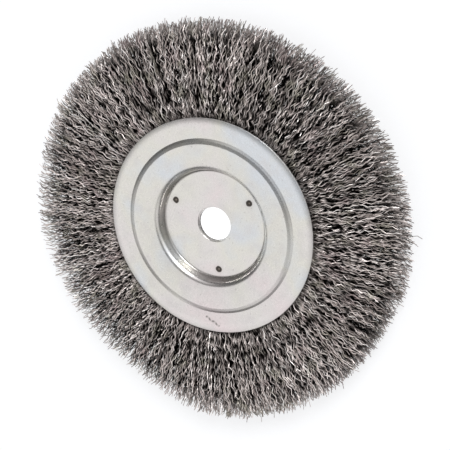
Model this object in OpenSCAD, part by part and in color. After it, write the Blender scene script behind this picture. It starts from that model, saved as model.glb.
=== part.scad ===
// Crimped wire wheel brush: two pressed plates spot-welded together at their
// centres clamp a ring of crimped steel wires, each folded over a core ring.
// Millimetres. The origin is the centre of the arbor hole on the joint between
// the plates, +Z is the wheel's axis and the front plate is on the +Z side.

/* [Plate steel] */
// Thickness of the plate steel
sheet_t = 1.35; // [1:0.05:1.6]
// Radius inside the bends of the pressing
bend_r = 0.7; // [0.5:0.1:1.2]

/* [Arbor hole and centre discs] */
// Diameter of the arbor hole, five eighths of an inch
bore_d = 15.875; // [12.7:0.005:20]
// Diameter of the flat centre disc at the foot of its wall
disc_d = 51.4; // [44:0.1:64]
// Outward lean of the recess wall, from its foot to its top
wall_run = 1.6; // [0.8:0.1:2.4]
// Height of the recess wall above the centre disc
recess_depth = 4.4; // [3.8:0.05:5.6]

/* [Raised band and flange] */
// Width of the raised band, from the recess wall to its shoulder
band_w = 11.5; // [11:0.1:16]
// Rise of the raised band from the recess wall out to its shoulder
band_rise = 1.8; // [0.2:0.05:2.2]
// Width of the step from the shoulder to the flange
step_w = 3.1; // [1.4:0.1:4]
// Height of the step from the shoulder down to the flange
step_h = 1; // [0.4:0.05:1.2]
// Width of the flange, from the step to its crown
flange_w = 5.9; // [4:0.1:10]
// Rise of the flange from the step out to its crown
flange_rise = 0.8; // [0.1:0.05:1]
// Width of the rim that is rolled down past the crown
roll_w = 3; // [2:0.1:4]
// Drop of the rolled rim below the crown
roll_drop = 0.45; // [0.2:0.05:1]
// Radius inside the soft bend at the crown
crown_r = 9; // [4:0.5:12]

/* [Spot welds] */
// Number of spot welds that hold the plates together
weld_count = 3; // [2:1:6]
// Distance of each weld's centre from the foot of the recess wall
weld_inset = 4; // [2.5:0.1:8]
// Diameter of the mark that each weld leaves
weld_d = 2.9; // [2:0.1:4]
// Depth of each weld mark
weld_depth = 0.2; // [0.05:0.05:0.4]

/* [Core ring] */
// Diameter of the core ring's rod
core_rod_d = 4; // [2.5:0.1:4.6]
// Free width between the recess wall and the folded wires
core_gap = 1; // [0.5:0.1:2]
// Thickness of the wires folded round the core ring
fold_t = 1.5; // [0.8:0.1:1.8]
// Clearance between the wires and the steel that holds them
wire_gap = 0.3; // [0.2:0.05:0.5]
// Number of gaps between the bundles of wires at their fold
fold_gap_count = 12; // [8:1:18]
// Width of each gap at the fold
fold_gap_w = 1.2; // [0.8:0.1:2]

/* [Wires] */
// Length of the longest wires beyond the plates
trim_l = 41.7; // [30:0.1:52]
// Width of the brush from flank to flank
face_w = 16.4; // [15.8:0.1:18]
// How much shorter the wires at the flanks are than those in the middle
flank_short = 2; // [1:0.5:5]
// Width that the wires need beside the rim to spread to the full face
spread_w = 3.4; // [2.4:0.1:6]
// Half the width of the middle layer of wires
middle_half_w = 2.8; // [2:0.1:3.4]
// Gap between the layers of wires
layer_gap = 0.35; // [0.2:0.05:0.6]
// Number of bundles of wires round each layer
bundle_count = 60; // [40:1:64]
// Share of the spacing that a bundle fills at its root
root_fill = 0.8; // [0.6:0.01:0.84]
// Share of the spacing that a bundle fills at its tip
tip_fill = 0.7; // [0.5:0.01:0.74]
// Sideways reach of the crimp
crimp_reach = 0.7; // [0.3:0.1:1]
// Number of crimp bends along a bundle
crimp_bends = 6; // [4:1:6]
// Unevenness of the bundles' lengths
tip_scatter = 1.6; // [0:0.1:2.5]

/* [Hidden] */
$fn = 96;

steel = [0.86, 0.85, 0.84];
rod_steel = [0.55, 0.54, 0.53];
wire_steel = [0.43, 0.41, 0.4];

// Corners of the front face of the front plate, as radius and height
disc_foot = [disc_d / 2, sheet_t];
wall_top = disc_foot + [wall_run, recess_depth];
shoulder = wall_top + [band_w, band_rise];
flange_foot = shoulder + [step_w, -step_h];
crown = flange_foot + [flange_w, flange_rise];
rim = crown + [roll_w, -roll_drop];
face_corners = [[0, sheet_t], disc_foot, wall_top, shoulder, flange_foot, crown, rim];
// Radius inside the bend at each corner
inside_radii = [0, bend_r, bend_r, bend_r, bend_r, crown_r, 0];

tunnel_r = core_rod_d / 2 + wire_gap;
fold_r = tunnel_r + fold_t;
core_r = wall_top.x + sheet_t + core_gap + fold_r;
fill_in_r = rim.x + wire_gap;
root_r = fill_in_r + spread_w;
brush_r = rim.x + trim_l;
face_half = face_w / 2;
// The roots start below the flanks and inside the collar that carries them
root_lap = 0.6;
collar_drop = 0.2;
// A bend takes at most this share of the straight on either side of it
side_share = 0.48;
least_r = 0.1;
cut_past = 1;

function unit(v) = v / norm(v);
function left_of(v) = [-v.y, v.x];
// Angle that the way turns at b, left turns positive
function turn_at(a, b, c) =
    let(u = unit(b - a), w = unit(c - b))
    atan2(u.x * w.y - u.y * w.x, u.x * w.x + u.y * w.y);
// Points of the bend at b on the way from a to c, which half of each side limits
function bend(a, b, c, r, steps) =
    let(
        turn = turn_at(a, b, c),
        half_tan = tan(abs(turn) / 2),
        reach = min(r * half_tan, side_share * norm(b - a), side_share * norm(c - b)),
        start = b - unit(b - a) * reach,
        centre = start + left_of(unit(b - a)) * reach / half_tan * sign(turn),
        d = start - centre
    )
    [for (q = [0:steps]) let(t = turn * q / steps)
        centre + [d.x * cos(t) - d.y * sin(t), d.x * sin(t) + d.y * cos(t)]];
// The pressing's line at a depth below its front face, with every corner bent
function line_at(depth, steps) =
    let(
        n = len(face_corners) - 1,
        way = [for (i = [0:n - 1]) unit(face_corners[i + 1] - face_corners[i])],
        corners = [for (i = [0:n])
            let(
                before = left_of(way[max(i - 1, 0)]),
                after = left_of(way[min(i, n - 1)])
            )
            face_corners[i] - (before + after) * depth / (1 + before * after)]
    )
    [
        corners[0],
        for (i = [1:n - 1])
            let(
                turn = turn_at(corners[i - 1], corners[i], corners[i + 1]),
                r = inside_radii[i] + (turn < 0 ? sheet_t - depth : depth)
            )
            each bend(corners[i - 1], corners[i], corners[i + 1], max(r, least_r), steps),
        corners[n]
    ];
function reversed(p) = [for (i = [len(p) - 1:-1:0]) p[i]];
function polar(r, a) = [r * cos(a), r * sin(a)];

front_face = line_at(0, 6);
back_face = line_at(sheet_t, 6);
wire_limit = line_at(sheet_t + wire_gap, 2);

// One pressed plate with its arbor hole and weld marks, front face up
module pressed_plate() {
    difference() {
        rotate_extrude() polygon(concat(front_face, reversed(back_face)));
        translate([0, 0, -sheet_t]) cylinder(d = bore_d, h = sheet_t * 3);
        for (i = [0:weld_count - 1])
            rotate([0, 0, 90 + i * 360 / weld_count])
            translate([disc_foot.x - weld_inset, 0, sheet_t - weld_depth])
            cylinder(d = weld_d, h = weld_depth + cut_past, $fn = 24);
    }
}

module front_plate() {
    color(steel) pressed_plate();
}

module back_plate() {
    color(steel) mirror([0, 0, 1]) pressed_plate();
}

// The round rod that the wires are folded over
module core_ring() {
    color(rod_steel)
    rotate_extrude() translate([core_r, 0]) circle(d = core_rod_d, $fn = 24);
}

// Half of the clamped wires' section, from the core ring out to the collar
module clamped_half() {
    collar_top = face_half - collar_drop;
    intersection() {
        polygon(concat(wire_limit, [
            [fill_in_r, rim.y - sheet_t - wire_gap],
            [root_r - root_lap * 2, collar_top],
            [root_r, collar_top],
            [root_r, -cut_past],
            [0, -cut_past]
        ]));
        translate([core_r, 0]) square([root_r, face_half]);
    }
}

// The wires between the plates, folded round the core ring, and their collar
module clamped_wires() {
    difference() {
        rotate_extrude() union() {
            clamped_half();
            mirror([0, 1]) clamped_half();
            translate([core_r, 0]) circle(r = fold_r, $fn = 24);
        }
        rotate_extrude() translate([core_r, 0]) circle(r = tunnel_r, $fn = 24);
        for (i = [0:fold_gap_count - 1])
            rotate([0, 0, (i + 0.5) * 360 / fold_gap_count])
            translate([core_r - fold_r - cut_past, -fold_gap_w / 2, -fold_r])
            cube([fold_r + cut_past, fold_gap_w, fold_r * 2]);
    }
}

// Outline of one bundle, out along one side and back along the other
function bundle_outline(angle, root, tip, lean) =
    let(
        pitch = 360 / bundle_count,
        side = [for (k = [0:crimp_bends])
            let(
                s = k / crimp_bends,
                r = root + (tip - root) * s,
                crimp = (k % 2 == 0 ? -1 : 1) * crimp_reach / r * 180 / PI,
                half = pitch / 2 * (root_fill + (tip_fill - root_fill) * s)
            )
            [r, angle + (k == 0 ? 0 : crimp) + lean * s, half]]
    )
    concat(
        [for (q = side) polar(q[0], q[1] - q[2])],
        [for (q = reversed(side)) polar(q[0], q[1] + q[2])]
    );

// One layer of crimped bundles that stand out from a ring at their roots
module wire_layer(low, high, tip_r, phase, seed) {
    pitch = 360 / bundle_count;
    root = root_r - root_lap;
    lengths = rands(-tip_scatter, 0, bundle_count, seed);
    leans = rands(-0.1, 0.1, bundle_count, seed + 1);
    translate([0, 0, low]) linear_extrude(height = high - low) difference() {
        polygon([
            for (i = [0:bundle_count - 1])
                each bundle_outline((i + phase) * pitch, root, tip_r + lengths[i], leans[i] * pitch)
        ]);
        circle(r = root - root_lap);
    }
}

// All the wires: the clamped folds and three layers of crimped bundles
module wire_fill() {
    color(wire_steel) union() {
        clamped_wires();
        wire_layer(-middle_half_w, middle_half_w, brush_r, 0, 11);
        wire_layer(middle_half_w + layer_gap, face_half, brush_r - flank_short, 0.5, 23);
        wire_layer(-face_half, -middle_half_w - layer_gap, brush_r - flank_short, 0.5, 37);
    }
}

front_plate();
back_plate();
core_ring();
wire_fill();
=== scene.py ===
import math

import bpy
from mathutils import Matrix, Vector


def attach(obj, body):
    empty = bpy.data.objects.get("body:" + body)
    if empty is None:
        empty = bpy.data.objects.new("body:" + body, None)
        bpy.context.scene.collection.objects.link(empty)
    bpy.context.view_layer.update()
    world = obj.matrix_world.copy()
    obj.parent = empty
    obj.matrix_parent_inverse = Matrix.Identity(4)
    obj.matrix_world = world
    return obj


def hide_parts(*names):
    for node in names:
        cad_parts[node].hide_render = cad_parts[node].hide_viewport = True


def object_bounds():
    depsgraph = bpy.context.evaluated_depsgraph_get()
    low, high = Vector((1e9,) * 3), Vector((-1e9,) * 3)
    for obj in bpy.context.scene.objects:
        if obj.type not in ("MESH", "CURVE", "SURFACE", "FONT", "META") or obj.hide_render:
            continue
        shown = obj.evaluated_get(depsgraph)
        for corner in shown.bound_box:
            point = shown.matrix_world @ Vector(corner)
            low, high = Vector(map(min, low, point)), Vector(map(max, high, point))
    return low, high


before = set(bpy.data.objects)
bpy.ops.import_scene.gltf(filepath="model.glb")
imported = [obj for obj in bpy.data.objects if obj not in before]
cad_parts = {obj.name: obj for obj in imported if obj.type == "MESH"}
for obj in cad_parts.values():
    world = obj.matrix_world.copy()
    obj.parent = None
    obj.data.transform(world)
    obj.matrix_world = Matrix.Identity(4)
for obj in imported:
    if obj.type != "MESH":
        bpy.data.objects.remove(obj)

CAD_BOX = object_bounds()
MM = 0.001

# The pressing, in millimetres: close to the part's source, with its reflections fitted
SHEET = 1.35
BORE_R = 7.9375
RIM_R = 51.0
# The wall of the bore, as radius and height: where it starts to lean out, and its lip
BORE_LIP = [(BORE_R, 0.5), (8.42, 1.26)]
EDGE_ROUND = 0.12
RIM_ROUND = 0.18
# Corners of the front face, as radius and height, and the radius inside each bend
CORNERS = [
    (0, SHEET), (25.7, SHEET), (27.3, 5.72), (38.9, 7.38), (40.5, 6.88), (41.6, 6.36),
    (47.8, 7.35), (RIM_R, 6.78)]
INSIDE_RADII = [0, 1.0, 2.0, 0.3, 1.2, 0.3, 9, 0]
# A bend takes at most this share of the straight on either side of it
SIDE_SHARE = 0.48
PLATE_TURNS = 216

# The weld marks, in millimetres
WELDS = 3
WELD_R = 21.7
WELD_WIDTH = 2.9
WELD_DEPTH = 0.22
# The marks are pressed into the front face alone, which lies above this height
FACE_HEIGHT = 1.0
# The middle of the scuff on the flange, as x and y
SCUFF = (-41.0, -20.4)

# Soft boxes: azimuth, height, where they are full, where they end, strength
SOFT_BOXES = [
    (160, 55, 26, 35, 1.03), (-163, 46, 8, 18, 0.95), (-103, 46, 14, 34, 0.85),
    (166, 9, 3, 13, 1.2), (-27, 42, 12, 42, 1.2), (136, 21, 8, 20, 0.62),
    (42, 48, 9, 25, 0.75), (-151, 11, 4, 14, 0.7)]
ROOM_LIGHT = 0.13

# The paper glows evenly, and a painted pool of light on it under the hub shows white through the
# bore
PAPER_COLOUR = (0.345, 0.355, 0.375, 1)
PAPER_GLOW = 0.70
BORE_POOL_OF_LIGHT = 0.305

# The photograph's view: azimuth, height and roll in degrees, the point looked at in
# millimetres, the distance in metres and the focal length in the photograph's pixels
VIEW_TURN = (-297.4, 56.93, -123.83)
VIEW_TARGET = (2.02, -4.40, 0)
VIEW_DISTANCE = 0.50957
FOCAL_PIXELS = 1118.19
PHOTO_PIXELS = 450
SENSOR_WIDTH = 36

# The single wires, in millimetres
WIRE_R = 0.185
ROOT_R = 49.6
TIP_R = 93.2
LONGEST_R = 96.4
HALF_WIDTH = 8.0
CRIMP = 0.62
LEAN = 0.27
WIRES_IN_TUFT = 10
WIRE_POINTS = 19
# Height that the wires keep under until they are past the rim
UNDER_RIM = 5.05
# Where the lengths differ round the wheel: azimuth, how narrow, millimetres
SWELL = (-154, 16, 4.6)
SINK = (167, 6, 2.0)
DIP = (-92, 10, 2.0)
FRAY = (133, 3, 6.0)
# Layers: wires, lowest and highest root, lowest and highest tip, seed
LAYERS = {
    "front_outer_wires": (1700, 2.6, 5.0, 4.6, 7.2, 11),
    "front_flank_wires": (1500, 2.2, 4.8, 4.4, 7.0, 17),
    "front_wires": (700, 0.4, 3.0, 0.4, 5.2, 23),
    "middle_wires": (600, -1.0, 1.0, -1.6, 2.4, 37),
    "back_wires": (500, -3.0, -0.8, -5.2, -2.0, 41),
    "back_flank_wires": (1300, -4.4, -0.4, -5.6, -0.2, 47),
    "back_outer_wires": (1500, -5.0, -2.6, -7.2, -4.2, 53),
}

# The wires that stay packed between the plates, in millimetres
PACK_RIBS = 240
PACK_IN_R = 36.0
PACK_R = 49.4
PACK_HALF = 5.0


class Link:
    """One output of a node, which sums and products turn into Math nodes."""

    def __init__(self, graph, socket):
        self.graph = graph
        self.socket = socket

    def math(self, operation, *others):
        return self.graph.step("ShaderNodeMath", enumerate((self, *others)), operation=operation)

    def __add__(self, other):
        return self.math("ADD", other)

    def __radd__(self, other):
        return self.math("ADD", other)

    def __sub__(self, other):
        return self.math("SUBTRACT", other)

    def __rsub__(self, other):
        return self.graph.step("ShaderNodeMath", {0: other, 1: self}, operation="SUBTRACT")

    def __mul__(self, other):
        return self.math("MULTIPLY", other)

    def __rmul__(self, other):
        return self.math("MULTIPLY", other)

    def __truediv__(self, other):
        return self.math("DIVIDE", other)

    def __rtruediv__(self, other):
        return self.graph.step("ShaderNodeMath", {0: other, 1: self}, operation="DIVIDE")

    def __pow__(self, other):
        return self.math("POWER", other)

    def __mod__(self, other):
        return self.math("FLOORED_MODULO", other)

    def __gt__(self, other):
        return self.math("GREATER_THAN", other)


class Graph:
    """A node tree, written down as steps."""

    def __init__(self, tree):
        self.tree = tree

    def step(self, kind, inputs=(), out=0, stops=None, **settings):
        """Adds a node, sets it, fills its sockets with values or links and gives one output."""
        node = self.tree.nodes.new(kind)
        for name, value in settings.items():
            setattr(node, name, value)
        if stops:
            ramp = node.color_ramp
            while len(ramp.elements) < len(stops):
                ramp.elements.new(1)
            for element, (place, colour) in zip(ramp.elements, stops):
                element.position = place
                element.color = (*colour, 1)
        for socket, value in dict(inputs).items():
            if isinstance(value, Link):
                self.tree.links.new(value.socket, node.inputs[socket])
            else:
                node.inputs[socket].default_value = value
        return Link(self, node.outputs[out]) if node.outputs else None

    def ramp(self, factor, stops):
        return self.step("ShaderNodeValToRGB", {0: factor}, stops=stops)

    def rise(self, value, low, high):
        """0 up to low, 1 from high on, smooth between them."""
        return self.step(
            "ShaderNodeMapRange", {0: value, 1: low, 2: high}, interpolation_type="SMOOTHSTEP")

    def blend(self, factor, first, second):
        """A colour between two."""
        return self.step(
            "ShaderNodeMix", {0: factor, 6: first, 7: second}, out=2, data_type="RGBA")

    def noise(self, vector, scale, detail=2.0):
        return self.step(
            "ShaderNodeTexNoise", {"Vector": vector, "Scale": scale, "Detail": detail})


def unit(v):
    return v.normalized()


def left_of(v):
    return Vector((-v.y, v.x))


def bend(a, b, c, radius, steps):
    """Points of the bend at b on the way from a to c."""
    way, onward = unit(b - a), unit(c - b)
    turn = math.atan2(way.x * onward.y - way.y * onward.x, way.dot(onward))
    half_tan = math.tan(abs(turn) / 2)
    reach = min(radius * half_tan, SIDE_SHARE * (b - a).length, SIDE_SHARE * (c - b).length)
    start = b - way * reach
    centre = start + left_of(way) * math.copysign(reach / half_tan, turn)
    return [centre + Matrix.Rotation(turn * q / steps, 2) @ (start - centre)
            for q in range(steps + 1)]


def pressing_line(depth, steps):
    """The line of the pressing at a depth below its front face, corners bent."""
    face = [Vector(p) for p in CORNERS]
    last = len(face) - 1
    ways = [unit(face[i + 1] - face[i]) for i in range(last)]
    corners = []
    for i in range(last + 1):
        before = left_of(ways[max(i - 1, 0)])
        after = left_of(ways[min(i, last - 1)])
        corners.append(face[i] - (before + after) * depth / (1 + before.dot(after)))
    points = []
    for i in range(1, last):
        a, b, c = corners[i - 1:i + 2]
        turns_left = (b - a).x * (c - b).y - (b - a).y * (c - b).x > 0
        radius = INSIDE_RADII[i] + (depth if turns_left else SHEET - depth)
        points += bend(a, b, c, radius, steps)
    return points + [corners[last]]


def rounded(a, b, c, radius, steps=4):
    """A small rounding of the corner at b."""
    way, onward = unit(b - a), unit(c - b)
    turn = math.atan2(way.x * onward.y - way.y * onward.x, way.dot(onward))
    return bend(a, b, c, radius, steps) if abs(turn) > 0.01 else [b]


def section():
    """The closed section of one pressing, from the bore out along the front and back below."""
    front = pressing_line(0, 7)
    back = pressing_line(SHEET, 5)
    foot = Vector((BORE_R, 0))
    rise, lip = (Vector(p) for p in BORE_LIP)
    top = lip + Vector((0.1, SHEET - lip.y))
    points = [rise, lip] + rounded(lip, top, front[0], EDGE_ROUND)
    # The disc has more points than its shape needs, and most where the welds are pressed
    points += [Vector((r, SHEET)) for r in (9, 10.5, 12.5, 14.5, 16.5, 18.5)]
    points += [Vector((WELD_R + i * 0.33, SHEET)) for i in range(-6, 7)]
    points += front[:-1]
    points += rounded(front[-2], front[-1], back[-1], RIM_ROUND, 6)
    points += rounded(front[-1], back[-1], back[-2], EDGE_ROUND)
    points += reversed(back[:-1])
    points += [Vector((18, 0)), Vector((11, 0))]
    points += rounded(Vector((11, 0)), foot, rise, EDGE_ROUND, 3)
    return points


def geometry_tree(name, inputs):
    """A Geometry Nodes tree with named inputs, which come back as links by name."""
    tree = bpy.data.node_groups.new(name, "GeometryNodeTree")
    tree.interface.new_socket("Geometry", in_out="INPUT", socket_type="NodeSocketGeometry")
    for label, kind in inputs.items():
        tree.interface.new_socket(label, in_out="INPUT", socket_type="NodeSocket" + kind)
    tree.interface.new_socket("Geometry", in_out="OUTPUT", socket_type="NodeSocketGeometry")
    graph = Graph(tree)
    entry = tree.nodes.new("NodeGroupInput")
    return graph, {o.name: Link(graph, o) for o in entry.outputs if o.name}


def close_tree(graph, geometry, smooth=True):
    """Ends a tree: its shading, no instances, its material, and out."""
    smooth = graph.step("GeometryNodeSetShadeSmooth", {0: geometry, 2: smooth})
    real = graph.step("GeometryNodeRealizeInstances", {0: smooth})
    group_input = [n for n in graph.tree.nodes if n.bl_idname == "NodeGroupInput"][0]
    finish = Link(graph, group_input.outputs["Finish"])
    dressed = graph.step("GeometryNodeSetMaterial", {0: real, 2: finish})
    exit_node = graph.tree.nodes.new("NodeGroupOutput")
    graph.tree.links.new(dressed.socket, exit_node.inputs[0])


def grow(name, tree, values, points=()):
    """The plain mesh that a tree makes with these input values."""
    start = bpy.data.meshes.new(name + "_start")
    start.from_pydata(points, [], [])
    holder = bpy.data.objects.new(name + "_start", start)
    bpy.context.scene.collection.objects.link(holder)
    modifier = holder.modifiers.new("grow", "NODES")
    modifier.node_group = tree
    for item in tree.interface.items_tree:
        if item.in_out == "INPUT" and item.name in values:
            modifier[item.identifier] = values[item.name]
    ready = holder.evaluated_get(bpy.context.evaluated_depsgraph_get())
    mesh = bpy.data.meshes.new_from_object(ready)
    bpy.data.objects.remove(holder)
    piece = bpy.data.objects.new(name, mesh)
    mesh.name = name
    bpy.context.scene.collection.objects.link(piece)
    return piece


def off_nearest_weld(radius, angle, share, circle):
    """The distance to the nearest weld mark; each mark has a share of the full turn."""
    folded = (angle - math.pi / 2 + share * 0.5) % share - share * 0.5
    across = radius * folded.math("SINE")
    along = radius * folded.math("COSINE") - circle
    return (across * across + along * along) ** 0.5


def pressing_tree():
    """Turns a section round the axis and presses the weld marks into its front face."""
    g, given = geometry_tree("turned_pressing", {
        "Turns": "Int", "Welds": "Int", "Weld Circle": "Float", "Weld Width": "Float",
        "Weld Depth": "Float", "Face Height": "Float", "Side": "Float", "Finish": "Material"})
    count = g.step("GeometryNodeAttributeDomainSize", {0: given["Geometry"]})
    columns = given["Turns"] + 1
    grid = g.step("GeometryNodeMeshGrid", {0: 1.0, 1: 1.0, 2: count + 1, 3: columns})
    number = g.step("GeometryNodeInputIndex")
    place = (number / columns).math("FLOOR") % count
    angle = (number % columns) / given["Turns"] * math.tau
    sample = g.step(
        "GeometryNodeSampleIndex",
        {0: given["Geometry"], "Value": g.step("GeometryNodeInputPosition"), "Index": place},
        data_type="FLOAT_VECTOR")
    radius = g.step("ShaderNodeSeparateXYZ", {0: sample}, out=0)
    height = g.step("ShaderNodeSeparateXYZ", {0: sample}, out=2)
    off_weld = off_nearest_weld(radius, angle, math.tau / given["Welds"], given["Weld Circle"])
    off_centre = off_weld / (given["Weld Width"] * 0.5)
    on_face = height > given["Face Height"]
    dish = 1 - g.rise(off_centre, 0.55, 1.0)
    collar = g.rise(off_centre, 0.8, 1.05) * (1 - g.rise(off_centre, 1.05, 1.4))
    pressed = (dish - collar * 0.25) * given["Weld Depth"] * on_face
    spot = g.step("ShaderNodeCombineXYZ", {
        0: radius * angle.math("COSINE"),
        1: radius * angle.math("SINE"),
        2: (height - pressed) * given["Side"]})
    turned = g.step("GeometryNodeSetPosition", {0: grid, "Position": spot})
    closed = g.step("GeometryNodeMergeByDistance", {0: turned, "Distance": 1e-6})
    flipped = g.step("GeometryNodeFlipFaces", {0: closed, 1: given["Side"] > 0})
    close_tree(g, flipped)
    return g.tree


def wire_tree():
    """Crimped wires round a ring, each with its own lean, crimp, length and tone."""
    g, given = geometry_tree("crimped_wires", {
        "Wires": "Int", "Tuft": "Int", "Points": "Int", "Seed": "Int", "Wire Radius": "Float",
        "Root Low": "Float", "Root High": "Float", "Tip Low": "Float", "Tip High": "Float",
        "Crimp": "Float", "Lean": "Float", "Finish": "Material"})
    straight = g.step("GeometryNodeCurvePrimitiveLine")
    points = g.step("GeometryNodeResampleCurve", {0: straight, "Count": given["Points"]})
    copies = g.step(
        "GeometryNodeDuplicateElements", {0: points, "Amount": given["Wires"]}, domain="SPLINE")
    wire = Link(g, copies.socket.node.outputs["Duplicate Index"])
    tuft = (wire / given["Tuft"]).math("FLOOR")
    step = g.step("GeometryNodeSplineParameter", out=2)
    along = g.step("GeometryNodeSplineParameter", out=0)

    def chance(low, high, key, owner=wire):
        return g.step(
            "FunctionNodeRandomValue", {2: low, 3: high, 7: owner, 8: given["Seed"] + key},
            out=1, data_type="FLOAT")

    angle = (wire + chance(-0.8, 0.8, 1)) / given["Wires"] * math.tau
    root_z = chance(0, 1, 2) * (given["Root High"] - given["Root Low"]) + given["Root Low"]
    spread = (wire * 0.618034) % 1 * 0.85 + chance(0, 0.15, 3)
    tip_z = spread * (given["Tip High"] - given["Tip Low"]) + given["Tip Low"]

    def lobe(azimuth, narrowness, reach):
        """A change of length that is greatest at one azimuth."""
        towards = (angle - math.radians(azimuth)).math("COSINE").math("MAXIMUM", 0)
        return towards ** narrowness * reach

    # Length: shorter towards the flanks, uneven round the wheel, in clumps and one by one
    around = g.step("ShaderNodeCombineXYZ", {
        0: angle.math("COSINE"), 1: angle.math("SINE"), 2: tip_z * 0.02})
    clump = g.noise(around, 9.0, 3.0) - 0.5
    flank = tip_z.math("ABSOLUTE") ** 3 * 0.0062
    frayed = lobe(*FRAY)
    worn = chance(0, 1, 4) ** 2 * (frayed * 3.6 + 6.0) - frayed * 0.5
    stray = (chance(0, 1, 5) > 0.97) * chance(0.5, 2.5, 6)
    even_r = TIP_R - flank + lobe(*SWELL) - lobe(*SINK) - lobe(*DIP)
    tip_r = (even_r + clump * 7.0 - worn + stray).math("MINIMUM", LONGEST_R)

    # Path: bends at an even pitch, which start at a different place on each tuft
    phase = chance(0, 2, 7, tuft) + chance(-0.18, 0.18, 25)
    root_r = ROOT_R - phase * 2.0
    radius = root_r + (tip_r - root_r) * along
    zigzag = (step % 2) * 2 - 1
    plane = chance(-1.2, 1.2, 9, tuft) + chance(-0.3, 0.3, 26)
    reach = zigzag * given["Crimp"] * (chance(0.7, 1.15, 11, tuft) + chance(-0.1, 0.1, 27))
    lean = chance(-0.25, 0.25, 12, tuft) + chance(-0.4, 0.4, 13) + chance(-0.4, 0.4, 14)
    wild = 1 + (chance(0, 1, 15) > 0.93) * 1.2
    bow = chance(-1, 1, 16) * along * (1 - along) * 6.0
    sway = ((along * chance(1.2, 3.0, 21) + chance(0, 1, 22)) * math.tau).math("SINE") * 0.6
    weave = ((along * chance(2.0, 4.5, 23) + chance(0, 1, 24)) * math.tau).math("SINE") * 0.7
    leaning = (radius - RIM_R) * lean * given["Lean"] * wild
    aside = leaning + bow + sway + reach * plane.math("COSINE") * 0.75
    flare = 1 - (1 - along) ** 4
    waves = reach * plane.math("SINE") * 1.5 + weave
    height = root_z + (tip_z - root_z) * flare + waves * g.rise(along, 0, 0.15)
    ceiling = g.rise(radius, RIM_R + 0.3, RIM_R + 5) * 3.0 + UNDER_RIM
    height = height.math("MINIMUM", ceiling).math("MAXIMUM", ceiling * -1)
    spot = g.step("ShaderNodeCombineXYZ", {
        0: (radius * angle.math("COSINE") - aside * angle.math("SINE")) * MM,
        1: (radius * angle.math("SINE") + aside * angle.math("COSINE")) * MM,
        2: height.math("MINIMUM", HALF_WIDTH).math("MAXIMUM", -HALF_WIDTH) * MM})
    bent = g.step("GeometryNodeSetPosition", {0: copies, "Position": spot})
    tone = chance(0, 1, 18, tuft) * 0.2 + chance(0, 1, 19) * 0.8
    toned = g.step(
        "GeometryNodeStoreNamedAttribute", {0: bent, "Name": "wire_tone", "Value": tone},
        data_type="FLOAT", domain="POINT")
    rolled = g.step("GeometryNodeSetCurveTilt", {0: toned, "Tilt": chance(0, math.tau, 20)})
    ring = g.step("GeometryNodeCurvePrimitiveCircle", {0: 3, "Radius": given["Wire Radius"] * MM})
    solid = g.step("GeometryNodeCurveToMesh", {0: rolled, "Profile Curve": ring, "Fill Caps": True})
    close_tree(g, solid, smooth=False)
    return g.tree


def pack_tree():
    """The wires that stay packed between the plates, as a ribbed ring."""
    g, given = geometry_tree("packed_wires", {
        "Ribs": "Int", "Inner": "Float", "Outer": "Float", "Half": "Float", "Finish": "Material"})
    columns = given["Ribs"] * 2 + 1
    grid = g.step("GeometryNodeMeshGrid", {0: 1.0, 1: 1.0, 2: 9, 3: columns})
    number = g.step("GeometryNodeInputIndex")
    place = (number / columns).math("FLOOR") % 8
    angle = (number % columns) / (columns - 1) * math.tau
    rib = (number % columns) % 2
    corner = place / 8 * math.tau + math.pi / 8
    middle = (given["Inner"] + given["Outer"]) * 0.5
    half_w = (given["Outer"] - given["Inner"]) * 0.5

    def flattened(wave):
        """A wave with its crests cut flat, which makes the round section boxy."""
        return (wave * 1.4).math("MINIMUM", 1).math("MAXIMUM", -1)

    radius = middle + flattened(corner.math("COSINE")) * half_w
    height = flattened(corner.math("SINE")) * (given["Half"] - rib * 0.25)
    spot = g.step("ShaderNodeCombineXYZ", {
        0: radius * angle.math("COSINE") * MM,
        1: radius * angle.math("SINE") * MM,
        2: height * MM})
    turned = g.step("GeometryNodeSetPosition", {0: grid, "Position": spot})
    closed = g.step("GeometryNodeMergeByDistance", {0: turned, "Distance": 1e-6})
    close_tree(g, closed)
    return g.tree


def new_material(name):
    """An empty material and its graph."""
    material = bpy.data.materials.new(name)
    material.use_nodes = True
    tree = material.node_tree
    tree.nodes.clear()
    return material, Graph(tree)


def surface(graph, inputs):
    """Ends a material with its surface shader."""
    shader = graph.step("ShaderNodeBsdfPrincipled", inputs)
    graph.step("ShaderNodeOutputMaterial", {"Surface": shader})


def in_millimetres(graph, place, axis):
    """One coordinate of a place, in millimetres."""
    return graph.step("ShaderNodeSeparateXYZ", {0: place}, out=axis) * (1 / MM)


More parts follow.
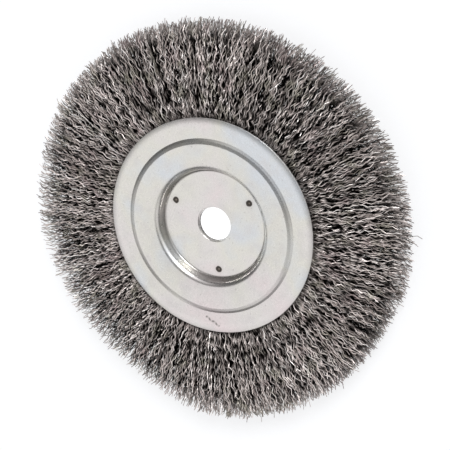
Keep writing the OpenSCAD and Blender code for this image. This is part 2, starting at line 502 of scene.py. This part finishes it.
def zinc_plate():
    """Satin zinc on pressed steel: faint tints, fine speckle, rusty weld marks and a bore wall
    coloured near black, partly as painted shade.
    """
    material, g = new_material("zinc_plate")
    place = g.step("ShaderNodeTexCoord", out=3)
    x = in_millimetres(g, place, 0)
    y = in_millimetres(g, place, 1)
    radius = (x * x + y * y) ** 0.5
    angle = y.math("ARCTAN2", x)

    tint = g.ramp(g.noise(place, 34.0, 3.0), [
        (0.30, (0.775, 0.695, 0.705)), (0.44, (0.75, 0.725, 0.715)),
        (0.54, (0.745, 0.735, 0.685)), (0.68, (0.685, 0.72, 0.76))])
    grain = g.noise(place, 1500.0, 3.0)
    cloud = g.noise(place, 160.0, 4.0)
    speck = g.rise(g.noise(place, 900.0, 2.0), 0.66, 0.76)
    colour = g.blend(g.rise(grain, 0.35, 0.7) * 0.16, tint, (0.52, 0.50, 0.50, 1))
    colour = g.blend(g.rise(cloud, 0.45, 0.72) * 0.4, colour, (0.64, 0.62, 0.62, 1))
    colour = g.blend(speck * 0.35, colour, (0.36, 0.33, 0.31, 1))

    # Weld marks: a rusty ring round a paler centre, with a faint halo
    wobble = g.noise(place, 700.0, 3.0) - 0.5
    off_weld = off_nearest_weld(radius, angle, math.tau / WELDS, WELD_R) + wobble * 0.7
    burnt = 1 - g.rise(off_weld, 1.3, 1.75)
    centre = 1 - g.rise(off_weld, 0.1, 0.7)
    halo = 1 - g.rise(off_weld, 1.4, 3.6)
    colour = g.blend(halo * 0.22, colour, (0.50, 0.45, 0.42, 1))
    colour = g.blend(burnt * 0.98, colour, (0.03, 0.022, 0.016, 1))
    colour = g.blend(centre * 0.7, colour, (0.30, 0.25, 0.21, 1))

    # The punched wall of the bore is bare sheared steel, coloured near black, which is partly
    # painted shade on the wall
    sheared_and_shade = 1 - g.rise(radius, BORE_R + 0.04, BORE_R + 0.2)
    torn = g.rise(g.noise(place, 1100.0, 2.0), 0.35, 0.65)
    colour = g.blend(sheared_and_shade * (1 - torn * 0.4), colour, (0.08, 0.075, 0.07, 1))

    # A darker ring in the corner at the foot of the recess wall
    corner = g.rise(radius, 24.7, 25.5) * (1 - g.rise(radius, 25.8, 26.5))
    colour = g.blend(corner * 0.45, colour, (0.16, 0.145, 0.13, 1))

    # A scuff on the flange: a short wavy line of grey dashes
    down = y - SCUFF[1]
    aside = x - SCUFF[0] + (down * 1.57).math("SINE") * 0.25
    dashes = 0.65 + (down * 3.14 + 2.2).math("SINE") * 0.35
    scuff = (1 - g.rise(aside.math("ABSOLUTE"), 0.2, 0.75)) * (
        1 - g.rise(down.math("ABSOLUTE"), 3.7, 4.4)) * dashes
    colour = g.blend(scuff * 0.85, colour, (0.16, 0.16, 0.145, 1))

    # The cut edge of the rim is dull and pale
    cut = g.rise(radius, RIM_R - 0.14, RIM_R - 0.02)
    colour = g.blend(cut, colour, (0.66, 0.64, 0.63, 1))
    rough = 0.29 + (grain - 0.5) * 0.14 + speck * 0.1 + burnt * 0.3 + cut * 0.2
    dents = g.noise(place, 420.0, 3.0) * 0.6 + grain * 0.4
    bump = g.step("ShaderNodeBump", {"Strength": 0.12, "Distance": 0.00012, "Height": dents})
    surface(g, {
        "Base Color": colour, "Roughness": rough, "Normal": bump,
        "Metallic": 1 - (burnt * 0.9).math("MAXIMUM", cut * 0.85)})
    return material


def crimped_steel():
    """Oily drawn wire: every wire its own grey, with olive and rosy patches, and painted shade on
    the wires deep inside the brush and next to the rim.
    """
    material, g = new_material("crimped_steel")
    place = g.step("ShaderNodeTexCoord", out=3)
    tone = g.step("ShaderNodeAttribute", out=2, attribute_name="wire_tone")
    x = in_millimetres(g, place, 0)
    y = in_millimetres(g, place, 1)
    radius = (x * x + y * y) ** 0.5
    colour = g.ramp(tone, [
        (0.0, (0.10, 0.085, 0.08)), (0.35, (0.52, 0.455, 0.43)),
        (0.7, (0.96, 0.87, 0.84)), (1.0, (1.0, 0.97, 0.95))])
    olive = g.rise(g.noise(place, 120.0, 2.0), 0.52, 0.68)
    colour = g.blend(olive * 0.45, colour, (0.33, 0.33, 0.24, 1))
    rosy = g.rise(g.noise(place, 95.0, 2.0), 0.54, 0.70)
    colour = g.blend(rosy * 0.4, colour, (0.50, 0.37, 0.38, 1))

    # Painted shade: wires deep inside the brush are coloured near black and made fully metallic, for
    # the little light that gets to them; less so near the tips
    depth = in_millimetres(g, place, 2).math("ABSOLUTE")
    spread = g.rise(radius, RIM_R - 8, RIM_R + 14) * 2.7 + 5.4
    outermost = g.rise(depth / spread, 0.72, 0.88).math("MAXIMUM", g.rise(radius, 84, 92) * 0.7)
    colour = g.blend(outermost, (0.006, 0.005, 0.0045, 1), colour)
    # Painted shade on the wires next to the rim, where they come out from under the plates
    painted_rim_shade = 1 - g.rise(radius, RIM_R, RIM_R + 4.5)
    colour = g.blend(painted_rim_shade * 0.5, colour, (0.05, 0.042, 0.038, 1))
    grain = g.noise(place, 2400.0, 2.0)
    surface(g, {
        "Base Color": colour, "Roughness": 0.3 + grain * 0.2,
        "Metallic": 1 - outermost * 0.8})
    return material


def rod_steel():
    """Plain drawn rod with faint draw lines."""
    material, g = new_material("rod_steel")
    place = g.step("ShaderNodeTexCoord", out=3)
    grain = g.noise(place, 900.0, 4.0)
    colour = g.blend(grain, (0.30, 0.29, 0.28, 1), (0.50, 0.48, 0.46, 1))
    surface(g, {"Base Color": colour, "Roughness": 0.3 + grain * 0.25, "Metallic": 1.0})
    return material


def studio_floor():
    """White paper that keeps a pale shadow, with a painted pool of light under the hub that shows
    white through the bore.
    """
    material, g = new_material("studio_floor")
    paths = g.step("ShaderNodeLightPath")
    outputs = paths.socket.node.outputs
    seen = Link(g, outputs["Is Camera Ray"]).math("MAXIMUM", Link(g, outputs["Is Glossy Ray"]))
    seen = seen.math("MAXIMUM", Link(g, outputs["Is Transmission Ray"]))
    paper = g.step("ShaderNodeBsdfDiffuse", {"Color": PAPER_COLOUR})
    place = g.step("ShaderNodeTexCoord", out=3)
    # A painted pool of light on the paper under the hub, seen through the bore
    off_centre = g.step(
        "ShaderNodeVectorMath", {0: place, 1: (0, 0, CAD_BOX[0][2])},
        operation="DISTANCE", out=1)
    lit = (1 - g.rise(off_centre, 0.012, 0.035)) * BORE_POOL_OF_LIGHT + PAPER_GLOW
    glow = g.step("ShaderNodeEmission", {"Color": (1, 1, 1, 1), "Strength": seen * lit})
    both = g.step("ShaderNodeAddShader", {0: paper, 1: glow})
    g.step("ShaderNodeOutputMaterial", {"Surface": both})
    return material


def heading(azimuth, height):
    """The unit vector towards a place in the studio, in degrees."""
    a, h = math.radians(azimuth), math.radians(height)
    return Vector((math.cos(a) * math.cos(h), math.sin(a) * math.cos(h), math.sin(h)))


def set_world():
    """A dim room with soft boxes, which the plates mirror."""
    world = bpy.data.worlds.new("studio")
    bpy.context.scene.world = world
    world.use_nodes = True
    g = Graph(world.node_tree)
    world.node_tree.nodes.clear()
    way = g.step("ShaderNodeTexCoord", out=0)
    light = ROOM_LIGHT
    for azimuth, height, full, end, strength in SOFT_BOXES:
        nearness = g.step(
            "ShaderNodeVectorMath", {0: way, 1: heading(azimuth, height)},
            operation="DOT_PRODUCT", out=1)
        edge = g.rise(nearness.math("ARCCOSINE"), math.radians(full), math.radians(end))
        light = ((1 - edge) * strength).math("MAXIMUM", light)
    back = g.step("ShaderNodeBackground", {"Color": (1.0, 0.99, 0.985, 1), "Strength": light})
    g.step("ShaderNodeOutputWorld", {0: back})


def set_shadow_lamp(azimuth, height, strength, softness):
    """A low soft sun from behind the top of the picture, which lays the shadow on the paper."""
    lamp = bpy.data.lights.new("shadow_lamp", "SUN")
    lamp.energy = strength
    lamp.angle = math.radians(softness)
    holder = bpy.data.objects.new("shadow_lamp", lamp)
    holder.rotation_euler = heading(azimuth, height).to_track_quat("Z", "Y").to_euler()
    bpy.context.scene.collection.objects.link(holder)


def set_camera():
    """The photograph's view of the wheel, which lies flat."""
    azimuth, height, roll = (math.radians(a) for a in VIEW_TURN)
    target = Vector(VIEW_TARGET) * MM
    back = Vector((
        math.sin(azimuth) * math.cos(height), -math.cos(azimuth) * math.cos(height),
        math.sin(height)))
    level = (-back).cross(Vector((0, 0, 1))).normalized()
    above = level.cross(-back)
    right = level * math.cos(roll) + above * math.sin(roll)
    up = above * math.cos(roll) - level * math.sin(roll)
    data = bpy.data.cameras.new("photo_view")
    data.sensor_width = SENSOR_WIDTH
    data.lens = FOCAL_PIXELS * SENSOR_WIDTH / PHOTO_PIXELS
    camera = bpy.data.objects.new("photo_view", data)
    turn = Matrix((right, up, back)).transposed().to_4x4()
    camera.matrix_world = Matrix.Translation(target + back * VIEW_DISTANCE) @ turn
    bpy.context.scene.collection.objects.link(camera)
    bpy.context.scene.camera = camera


def set_floor(height, finish):
    mesh = bpy.data.meshes.new("floor")
    half = 3.0
    mesh.from_pydata(
        [(-half, -half, height), (half, -half, height), (half, half, height), (-half, half, height)],
        [], [(0, 1, 2, 3)])
    floor = bpy.data.objects.new("floor", mesh)
    mesh.materials.append(finish)
    bpy.context.scene.collection.objects.link(floor)


def place_piece(piece, slot, *nodes):
    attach(piece, "root")
    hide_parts(*nodes)


set_camera()
bpy.context.scene.view_settings.view_transform = "Standard"
set_world()
set_shadow_lamp(azimuth=3, height=36, strength=1.9, softness=24)
set_floor(CAD_BOX[0][2], studio_floor())

zinc = zinc_plate()
wire_steel = crimped_steel()

outline = [(p.x * MM, 0, p.y * MM) for p in section()]
turned = pressing_tree()
for name, side in (("front_plate", 1.0), ("back_plate", -1.0)):
    plate = grow(name + "_pressing", turned, {
        "Turns": PLATE_TURNS, "Welds": WELDS, "Weld Circle": WELD_R * MM,
        "Weld Width": WELD_WIDTH * MM, "Weld Depth": WELD_DEPTH * MM,
        "Face Height": FACE_HEIGHT * MM, "Side": side, "Finish": zinc}, outline)
    place_piece(plate, "plated_steel", name)

crimped = wire_tree()
for name, (count, root_low, root_high, tip_low, tip_high, seed) in LAYERS.items():
    wires = grow(name, crimped, {
        "Wires": count, "Tuft": WIRES_IN_TUFT, "Points": WIRE_POINTS, "Seed": seed,
        "Wire Radius": WIRE_R, "Root Low": root_low, "Root High": root_high,
        "Tip Low": tip_low, "Tip High": tip_high, "Crimp": CRIMP, "Lean": LEAN,
        "Finish": wire_steel})
    place_piece(wires, "crimped_wire", "wire_fill")

packed = grow("packed_wires", pack_tree(), {
    "Ribs": PACK_RIBS, "Inner": PACK_IN_R, "Outer": PACK_R, "Half": PACK_HALF,
    "Finish": wire_steel})
place_piece(packed, "crimped_wire", "wire_fill")

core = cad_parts["core_ring"]
core.data.materials.clear()
core.data.materials.append(rod_steel())
